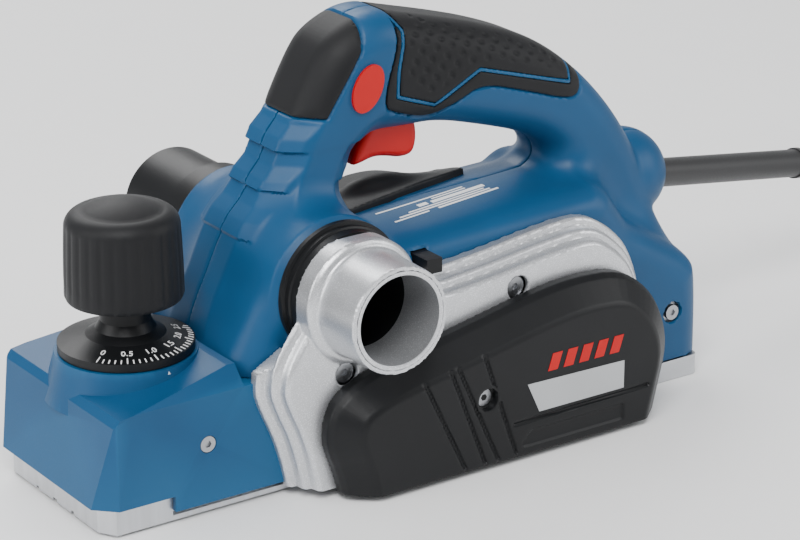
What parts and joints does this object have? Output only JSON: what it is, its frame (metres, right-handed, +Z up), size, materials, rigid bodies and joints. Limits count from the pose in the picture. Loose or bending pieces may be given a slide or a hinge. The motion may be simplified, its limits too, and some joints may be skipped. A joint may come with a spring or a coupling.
{
  "type": "electric hand planer",
  "caption": "Corded electric hand planer with a closed bow handle, depth knob on a sliding front shoe, belt-driven cutter drum and a chip outlet on each side.",
  "frame": {"origin": "on the face of the rear sole, at mid-width and at the middle of the whole sole's length", "axes": "+X towards the heel, -X towards the toe, -Y towards the belt side, +Z up from the sole"},
  "size_m": [0.6125, 0.2315, 0.1776],
  "materials": {
    "sole_aluminium": "brushed, machined",
    "body_plastic": "fine texture, mid blue",
    "soft_grip": "soft, fine grain, charcoal",
    "dark_plastic": "fine texture, charcoal",
    "grey_plastic": "fine texture, dark grey",
    "guard_paint": "light silver with a fine sparkle",
    "red_plastic": "bright red, satin",
    "steel": "bright turned steel",
    "carbide": "ground edge",
    "black_steel": "blackened",
    "copper": "enamelled copper winding",
    "graphite": "pressed carbon",
    "lamination": "stacked electrical steel",
    "belt_rubber": "ribbed drive belt",
    "cord_rubber": "smooth rubber sheath",
    "brass": "plated brass"
  },
  "bodies": {
    "machine": {"base_frame": "sole_aluminium", "front_hood": "body_plastic", "housing_left": "body_plastic", "housing_right": "body_plastic", "nose_skin_left": "soft_grip", "nose_skin_right": "soft_grip", "grip_skin_left": "soft_grip", "grip_skin_right": "soft_grip", "top_panel": "grey_plastic", "side_cover": "grey_plastic", "chip_duct": "dark_plastic", "belt_guard": "guard_paint", "belt_cover": "dark_plastic", "depth_spring": "steel", "drum_bearings": "steel", "drive_belt": "belt_rubber", "stator": "lamination", "field_windings": "copper", "motor_bearings": "steel", "brushes": "graphite", "brush_holders": "brass", "switch_body": "dark_plastic", "hood_screws": "black_steel", "rear_screws": "steel", "guard_screws": "black_steel", "cover_screw": "black_steel", "half_screws": "black_steel", "cord_sleeve": "cord_rubber", "cord_clamp": "dark_plastic", "cord": "cord_rubber", "cord_tail": "cord_rubber", "cord_coil": "cord_rubber", "cord_tie": "dark_plastic", "plug": "cord_rubber", "plug_pins": "brass"},
    "knob": {"depth_dial": "dark_plastic", "knob_cap": "soft_grip", "spindle": "steel"},
    "shoe": {"front_shoe": "sole_aluminium"},
    "trigger": {"trigger": "red_plastic"},
    "lock": {"lock_button": "red_plastic"},
    "drum": {"cutter_drum": "sole_aluminium", "blades": "carbide", "blade_clamps": "black_steel", "drum_pulley": "sole_aluminium"},
    "rotor": {"armature": "lamination", "motor_shaft": "steel", "commutator": "copper", "fan": "dark_plastic", "motor_pulley": "steel"},
    "deflector": {"chip_deflector": "dark_plastic"},
    "lever": {"direction_lever": "dark_plastic"}
  },
  "joints": [
    {"name": "knob_turn", "type": "hinge", "parent": "machine", "child": "knob", "pos_m": [-0.1111, 0, 0.06], "axis": [0, 0, 1], "range_deg": [-79.8, 58.5]},
    {"name": "shoe_slide", "type": "slide", "parent": "machine", "child": "shoe", "axis": [0, 0, 1], "range_m": [-0.0011, 0.0015], "deforming": ["depth_spring"]},
    {"name": "trigger_pull", "type": "slide", "parent": "machine", "child": "trigger", "axis": [0, 0, 1], "range_m": [0, 0.005], "stiffness_N_per_m": 600, "springref_m": -0.005},
    {"name": "lock_push", "type": "slide", "parent": "machine", "child": "lock", "axis": [0, 1, 0], "range_m": [-0.0025, 0.0025], "stiffness_N_per_m": 500},
    {"name": "drum_spin", "type": "hinge", "parent": "machine", "child": "drum", "pos_m": [-0.027, 0, 0.0235], "axis": [0, 1, 0], "continuous": true},
    {"name": "motor_spin", "type": "hinge", "parent": "machine", "child": "rotor", "pos_m": [0.065, 0, 0.0435], "axis": [0, 1, 0], "continuous": true},
    {"name": "lever_push", "type": "slide", "parent": "machine", "child": "lever", "axis": [0, 1, 0], "range_m": [0, 0.012]},
    {"name": "flap_turn", "type": "hinge", "parent": "machine", "child": "deflector", "pos_m": [-0.0395, 0, 0.06], "axis": [1, 0, 0], "range_deg": [-80, 0]}
  ],
  "couplings": [
    {"joint": "shoe_slide", "follows": "knob_turn", "m_per_rad": -0.001077},
    {"joint": "motor_spin", "follows": "drum_spin", "ratio": 1.6417},
    {"joint": "flap_turn", "follows": "lever_push", "rad_per_m": -116.36}
  ]
}
